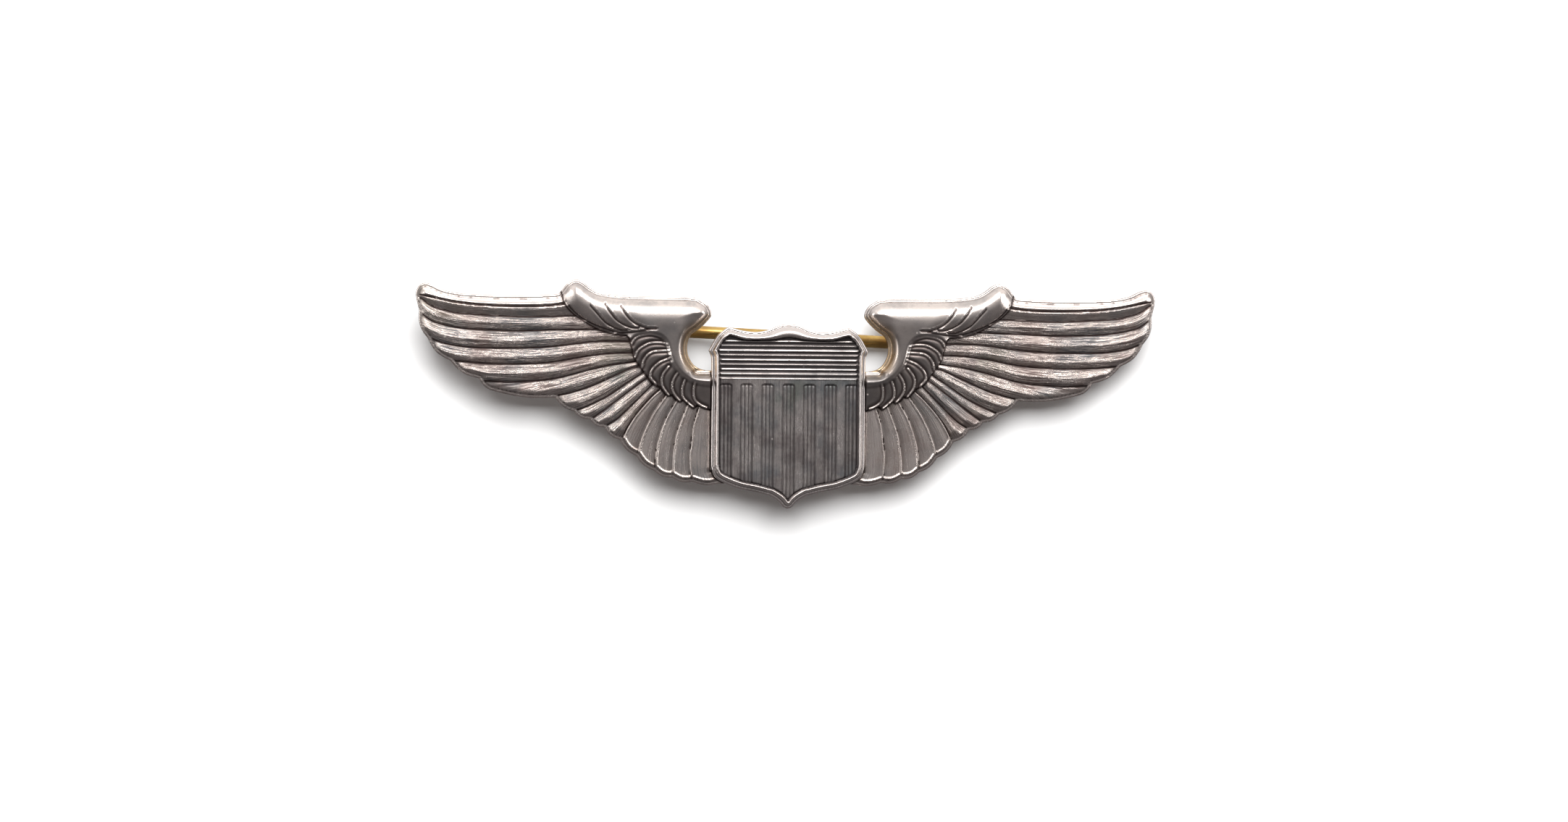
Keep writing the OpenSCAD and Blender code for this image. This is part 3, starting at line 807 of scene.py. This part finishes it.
class Tree:
    """A material's nodes, with one short call for each."""

    def __init__(self, name):
        self.material = bpy.data.materials.new(name)
        self.material.use_nodes = True
        self.nodes = self.material.node_tree.nodes
        self.shader = self.nodes["Principled BSDF"]

    def link(self, a, b):
        self.material.node_tree.links.new(a, b)

    def put(self, socket, value):
        if hasattr(value, "is_linked"):
            self.link(value, socket)
        else:
            socket.default_value = value

    def split(self, vector):
        node = self.nodes.new("ShaderNodeSeparateXYZ")
        self.link(vector, node.inputs[0])
        return node.outputs

    def attribute(self, name):
        node = self.nodes.new("ShaderNodeAttribute")
        node.attribute_name = name
        return self.split(node.outputs["Vector"])

    def place(self):
        return self.nodes.new("ShaderNodeTexCoord").outputs["Object"]

    def vector(self, x, y, z):
        node = self.nodes.new("ShaderNodeCombineXYZ")
        for socket, value in zip(node.inputs, (x, y, z)):
            self.put(socket, value)
        return node.outputs[0]

    def math(self, kind, a, b=0.0):
        node = self.nodes.new("ShaderNodeMath")
        node.operation = kind
        self.put(node.inputs[0], a)
        self.put(node.inputs[1], b)
        return node.outputs[0]

    def noise(self, vector, scale, detail=3.0, roughness=0.55):
        node = self.nodes.new("ShaderNodeTexNoise")
        self.put(node.inputs["Vector"], vector)
        self.put(node.inputs["Scale"], scale)
        self.put(node.inputs["Detail"], detail)
        self.put(node.inputs["Roughness"], roughness)
        return node.outputs["Fac"]

    def cells(self, vector, scale):
        node = self.nodes.new("ShaderNodeTexVoronoi")
        self.put(node.inputs["Vector"], vector)
        self.put(node.inputs["Scale"], scale)
        return node.outputs["Distance"]

    def ramp(self, value, a, b, low=0.0, high=1.0):
        node = self.nodes.new("ShaderNodeMapRange")
        node.interpolation_type = "SMOOTHSTEP"
        for socket, v in zip(node.inputs[:5], (value, a, b, low, high)):
            self.put(socket, v)
        return node.outputs[0]

    def mix(self, factor, a, b):
        node = self.nodes.new("ShaderNodeMix")
        node.data_type = "RGBA"
        self.put(node.inputs[0], factor)
        self.put(node.inputs[6], a)
        self.put(node.inputs[7], b)
        return node.outputs[2]

    def bump(self, height, depth, normal=None, strength=1.0):
        node = self.nodes.new("ShaderNodeBump")
        self.put(node.inputs["Height"], height)
        node.inputs["Distance"].default_value = depth
        node.inputs["Strength"].default_value = strength
        if normal is not None:
            self.link(normal, node.inputs["Normal"])
        return node.outputs[0]


def silver(name, bright, tarnish, shade_black, amount):
    """Struck silver: bright on the crests, tarnished in patches, with pinkish, bluish and
    brassy casts. The colour is darkened towards near-black by painted shade and tarnish in the
    grooves and recesses, and by painted shade in the creases, along the steps and on the
    feathers' lower flanks."""
    t = Tree(name)
    reach, place, side = t.attribute("grain")
    dark, barbs, polish = t.attribute("look")
    gold, cool, _ = t.attribute("tone")
    here = t.place()
    streaks = t.noise(t.vector(t.math("MULTIPLY", reach, 0.3), t.math("MULTIPLY", place, 15.0),
                               t.math("MULTIPLY", side, 7.0)), 1.0, 5.0, 0.65)
    patches = t.noise(here, 330.0, 5.0, 0.62)
    hues = t.noise(here, 210.0, 3.0)
    greens = t.noise(here, 150.0, 2.0)
    specks = t.noise(here, 3200.0, 2.0)
    dust = t.cells(here, 700.0)
    warm = t.mix(t.ramp(hues, 0.4, 0.62), tarnish, COOL_TARNISH)
    warm = t.mix(t.math("MULTIPLY", t.ramp(greens, 0.56, 0.7), 0.5), warm, GREEN_TARNISH)
    warm = t.mix(cool, warm, COOL_TARNISH)
    cover = t.math("MULTIPLY", t.ramp(patches, 0.3, 0.7), amount)
    cover = t.math("ADD", cover, t.math("MULTIPLY", specks, 0.1))
    cover = t.math("SUBTRACT", cover, t.math("MULTIPLY", polish, 0.5))
    thin = t.math("MULTIPLY", barbs, t.ramp(streaks, 0.51, 0.43))
    cover = t.math("ADD", t.math("MAXIMUM", cover, 0.0), thin)
    cover = t.math("MINIMUM", cover, 1.0)
    colour = t.mix(cover, bright, warm)
    # Painted shade: the mesh's dark value (shade in grooves, creases and on lower flanks, with
    # tarnish in the grooves) and the streaks' own dark lines darken the colour towards
    # near-black
    dark = t.math("MAXIMUM", dark, t.math("MULTIPLY", thin, 0.45))
    colour = t.mix(t.ramp(dark, 0.02, 0.9), colour, shade_black)
    colour = t.mix(t.math("MULTIPLY", gold, 0.75), colour, GILT)
    spark = t.math("MULTIPLY", t.ramp(dust, 0.09, 0.04), t.ramp(patches, 0.45, 0.6))
    colour = t.mix(spark, colour, bright)
    t.link(colour, t.shader.inputs["Base Color"])
    rough = t.math("ADD", t.math("MULTIPLY", cover, 0.18), 0.2)
    rough = t.math("ADD", rough, t.math("MULTIPLY", dark, 0.12))
    t.link(rough, t.shader.inputs["Roughness"])
    t.shader.inputs["Metallic"].default_value = 1.0
    fine = t.bump(t.math("MULTIPLY", streaks, barbs), STREAKS_DEPTH)
    t.link(t.bump(specks, SPECKS_DEPTH, fine, 0.6), t.shader.inputs["Normal"])
    return t.material


def brass(name, colour, dull):
    """Drawn or stamped brass with a patchy brown bloom and fine scratches."""
    t = Tree(name)
    here = t.place()
    bloom = t.ramp(t.noise(here, 420.0, 5.0, 0.6), 0.35, 0.68)
    along, up, out = t.split(here)
    drawn = t.vector(t.math("MULTIPLY", along, 300.0), t.math("MULTIPLY", up, 4200.0),
                     t.math("MULTIPLY", out, 4200.0))
    scratch = t.noise(drawn, 1.0, 2.0)
    cover = t.math("ADD", t.math("MULTIPLY", bloom, 0.7), t.math("MULTIPLY", scratch, 0.2))
    t.link(t.mix(cover, colour, dull), t.shader.inputs["Base Color"])
    t.link(t.math("ADD", t.math("MULTIPLY", cover, 0.2), 0.22), t.shader.inputs["Roughness"])
    t.shader.inputs["Metallic"].default_value = 1.0
    t.link(t.bump(scratch, 0.00001, None, 0.6), t.shader.inputs["Normal"])
    return t.material


def solder_grey(name):
    """Dull, lumpy solder."""
    t = Tree(name)
    here = t.place()
    lumps = t.noise(here, 900.0, 3.0)
    grey = t.mix(lumps, (0.2, 0.19, 0.17, 1), (0.5, 0.48, 0.44, 1))
    t.link(grey, t.shader.inputs["Base Color"])
    t.shader.inputs["Metallic"].default_value = 1.0
    t.link(t.ramp(lumps, 0.3, 0.7, 0.35, 0.6), t.shader.inputs["Roughness"])
    t.link(t.bump(lumps, 0.00004), t.shader.inputs["Normal"])
    return t.material


def backdrop_white(name):
    """White card. It is one-sided, so that the back of the badge can be seen past it."""
    t = Tree(name)
    t.shader.inputs["Base Color"].default_value = (0.6, 0.6, 0.6, 1)
    t.shader.inputs["Roughness"].default_value = 1.0
    t.shader.inputs["Specular IOR Level"].default_value = 0.0
    clear = t.nodes.new("ShaderNodeBsdfTransparent")
    mix = t.nodes.new("ShaderNodeMixShader")
    face = t.nodes.new("ShaderNodeNewGeometry").outputs["Backfacing"]
    t.link(face, mix.inputs[0])
    t.link(t.shader.outputs[0], mix.inputs[1])
    t.link(clear.outputs[0], mix.inputs[2])
    t.link(mix.outputs[0], t.nodes["Material Output"].inputs[0])
    return t.material


# ---------------------------------------------------------------- clasp


def refined(node, material, bevel):
    """A copy of a CAD node with its edges rounded off, which stands in for it."""
    source = NODES[node]
    mesh = source.data.copy()
    mesh.name = node + "_fine"
    obj = bpy.data.objects.new(node + "_fine", mesh)
    bpy.context.scene.collection.objects.link(obj)
    work = bmesh.new()
    work.from_mesh(mesh)
    bmesh.ops.remove_doubles(work, verts=work.verts, dist=1e-6)
    bmesh.ops.dissolve_limit(work, angle_limit=math.radians(0.5), verts=work.verts,
                             edges=work.edges)
    work.to_mesh(mesh)
    work.free()
    mesh.materials.clear()
    mesh.materials.append(material)
    mod = obj.modifiers.new("edges", "BEVEL")
    mod.width = bevel * MM
    mod.segments = 3
    mod.limit_method = "ANGLE"
    mod.angle_limit = math.radians(35)
    mesh.shade_smooth()
    mesh.set_sharp_from_angle(angle=math.radians(50))
    return obj


# ---------------------------------------------------------------- build

wings_silver = silver("wing_silver", (0.90, 0.83, 0.79, 1), (0.4, 0.32, 0.3, 1),
                      (0.06, 0.042, 0.04, 1), 0.75)
shield_silver = silver("shield_silver", (0.84, 0.79, 0.77, 1), (0.27, 0.245, 0.245, 1),
                       (0.06, 0.052, 0.054, 1), 1.0)
stem_brass = brass("stem_brass", (0.83, 0.58, 0.2, 1), (0.42, 0.25, 0.08, 1))
clasp_brass = brass("clasp_brass", (0.72, 0.55, 0.27, 1), (0.3, 0.21, 0.1, 1))
solder = solder_grey("solder")

for piece, node, slot, material in (
        (make_wings(), "wings_plate", "silver_wings", wings_silver),
        (make_shield(), "shield", "silver_shield", shield_silver)):
    piece.data.materials.append(material)
    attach(piece, "badge")
    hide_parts(node)

# Each clasp piece's node, the body it rides on and the width of its bevels in mm
CLASP = [("hinge_patch", "badge", 0.08), ("hinge_joint", "badge", 0.08),
         ("hinge_rivet", "badge", 0.1), ("catch_patch", "badge", 0.08),
         ("catch_housing", "badge", 0.07), ("catch_rotor", "rotor", 0.07),
         ("pin_stem", "stem", 0.04)]
for node, body, bevel in CLASP:
    is_stem = node == "pin_stem"
    piece = refined(node, stem_brass if is_stem else clasp_brass, bevel)
    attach(piece, body)
    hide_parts(node)
for node in ("shield_solder", "hinge_solder", "catch_solder"):
    NODES[node].data.materials.clear()
    NODES[node].data.materials.append(solder)

# ---------------------------------------------------------------- stage, lights, camera

BACK_Y = CAD_BOX[1].y
# The badge lies on a white card, which is upright here because the badge is. Turned a
# little, the card shows its clear back to a view from the right.
CARD_W, CARD_LOW, CARD_HIGH = 0.2, -0.0485, 0.12
CARD_SLOPE = math.tan(math.radians(1.35))
CARD_Y = BACK_Y + 0.00065
FLOOR_Z = -0.05
FLOOR_W = 0.6

LENS = 90
SENSOR = 36
VIEW_W = 0.1613       # width of the picture at the badge's face
AIM_X, AIM_Z = -0.0003, -0.00168
TURN = math.radians(5)
ROLL = math.radians(-0.45)

# Each lamp's place, width, height, watts and colour. They all aim at the badge's middle.
BADGE_LAMPS = {
    "high": ((0.02, -0.30, 0.26), 0.40, 0.12, 0.8, (1, 0.96, 0.93)),
    "side_l": ((-0.34, -0.13, 0.05), 0.08, 0.30, 0.3, (1, 0.97, 0.94)),
    "side_r": ((0.34, -0.13, 0.05), 0.08, 0.30, 0.3, (1, 0.97, 0.94))}
CARD_LAMP = ((0.0, -0.46, 0.20), 0.34, 0.30, 6.6, (1, 1, 1))
# A soft room: white overhead, dimmer in front, dark below
ROOM = [(0.0, (0.12, 0.108, 0.108)), (0.42, (0.15, 0.138, 0.137)), (0.5, (0.28, 0.268, 0.268)),
        (0.56, (0.32, 0.305, 0.3)), (0.7, (0.54, 0.51, 0.5)), (0.85, (1.06, 1.0, 0.97)),
        (1.0, (0.93, 0.89, 0.86))]

scene = bpy.context.scene


def sheet(name, corners, material):
    """A flat sheet that only the camera sees, and no reflection does."""
    mesh = bpy.data.meshes.new(name)
    mesh.from_pydata(corners, [], [(0, 1, 2, 3)])
    obj = bpy.data.objects.new(name, mesh)
    scene.collection.objects.link(obj)
    mesh.materials.append(material)
    obj.visible_glossy = False
    obj.visible_diffuse = False
    return obj


def make_card(material):
    corners = [(-CARD_W, CARD_LOW), (CARD_W, CARD_LOW), (CARD_W, CARD_HIGH),
               (-CARD_W, CARD_HIGH)]
    card = sheet("ground", [(x, CARD_Y - x * CARD_SLOPE, z) for x, z in corners], material)
    card.visible_shadow = False
    return card


def make_floor(material):
    corners = [(-FLOOR_W, -FLOOR_W), (FLOOR_W, -FLOOR_W), (FLOOR_W, FLOOR_W),
               (-FLOOR_W, FLOOR_W)]
    floor = sheet("floor", [(x, y, FLOOR_Z) for x, y in corners], material)
    floor.is_shadow_catcher = True


def lamp(name, place, width, height, watts, colour, lit):
    """A rectangular lamp that lights only what the group lit says."""
    light = bpy.data.lights.new(name, "AREA")
    light.shape = "RECTANGLE"
    light.size, light.size_y = width, height
    light.energy = watts
    light.color = colour
    obj = bpy.data.objects.new(name, light)
    scene.collection.objects.link(obj)
    obj.location = place
    obj.rotation_mode = "QUATERNION"
    obj.rotation_quaternion = (-Vector(place)).to_track_quat("-Z", "Y")
    obj.light_linking.receiver_collection = lit


def light_group(name, obj, state):
    """A group for light linking that includes or excludes one object."""
    group = bpy.data.collections.new(name)
    group.objects.link(obj)
    group.collection_objects[0].light_linking.link_state = state
    return group


def light_room():
    """The world: the room's shades from floor to ceiling, and plain white to the camera."""
    world = bpy.data.worlds.new("studio")
    scene.world = world
    world.use_nodes = True
    nodes, link = world.node_tree.nodes, world.node_tree.links.new
    towards = nodes.new("ShaderNodeTexCoord")
    parts = nodes.new("ShaderNodeSeparateXYZ")
    link(towards.outputs["Generated"], parts.inputs[0])
    rise = nodes.new("ShaderNodeMath")
    rise.operation = "MULTIPLY_ADD"
    rise.inputs[1].default_value = 0.5
    rise.inputs[2].default_value = 0.5
    link(parts.outputs["Z"], rise.inputs[0])
    shades = nodes.new("ShaderNodeValToRGB")
    stops = shades.color_ramp.elements
    for k, (at, colour) in enumerate(ROOM):
        stop = stops[k] if k < 2 else stops.new(at)
        stop.position = at
        stop.color = (*colour, 1)
    link(rise.outputs[0], shades.inputs[0])
    room = nodes["Background"]
    link(shades.outputs["Color"], room.inputs["Color"])
    seen = nodes.new("ShaderNodeBackground")
    seen.inputs["Color"].default_value = (1, 1, 1, 1)
    light_path = nodes.new("ShaderNodeLightPath")
    mixer = nodes.new("ShaderNodeMixShader")
    link(light_path.outputs["Is Camera Ray"], mixer.inputs[0])
    link(room.outputs[0], mixer.inputs[1])
    link(seen.outputs[0], mixer.inputs[2])
    link(mixer.outputs[0], nodes["World Output"].inputs["Surface"])


def place_camera():
    """The camera stands a little to the left of the badge, as the photographer did."""
    camera = bpy.data.cameras.new("camera")
    camera.lens = LENS
    camera.sensor_width = SENSOR
    view = bpy.data.objects.new("camera", camera)
    scene.collection.objects.link(view)
    distance = VIEW_W * LENS / SENSOR
    view.location = (AIM_X - distance * math.sin(TURN), -distance * math.cos(TURN), AIM_Z)
    view.rotation_euler = (math.radians(90), ROLL, -TURN)
    scene.camera = view


white = backdrop_white("white_card")
card = make_card(white)
make_floor(white)
on_card = light_group("on_card", card, "INCLUDE")
off_card = light_group("off_card", card, "EXCLUDE")
for name, settings in BADGE_LAMPS.items():
    lamp(name, *settings, off_card)
lamp("card_lamp", *CARD_LAMP, on_card)
light_room()
place_camera()
scene.view_settings.view_transform = "Standard"

# ---------------------------------------------------------------- final update

bpy.context.view_layer.update()
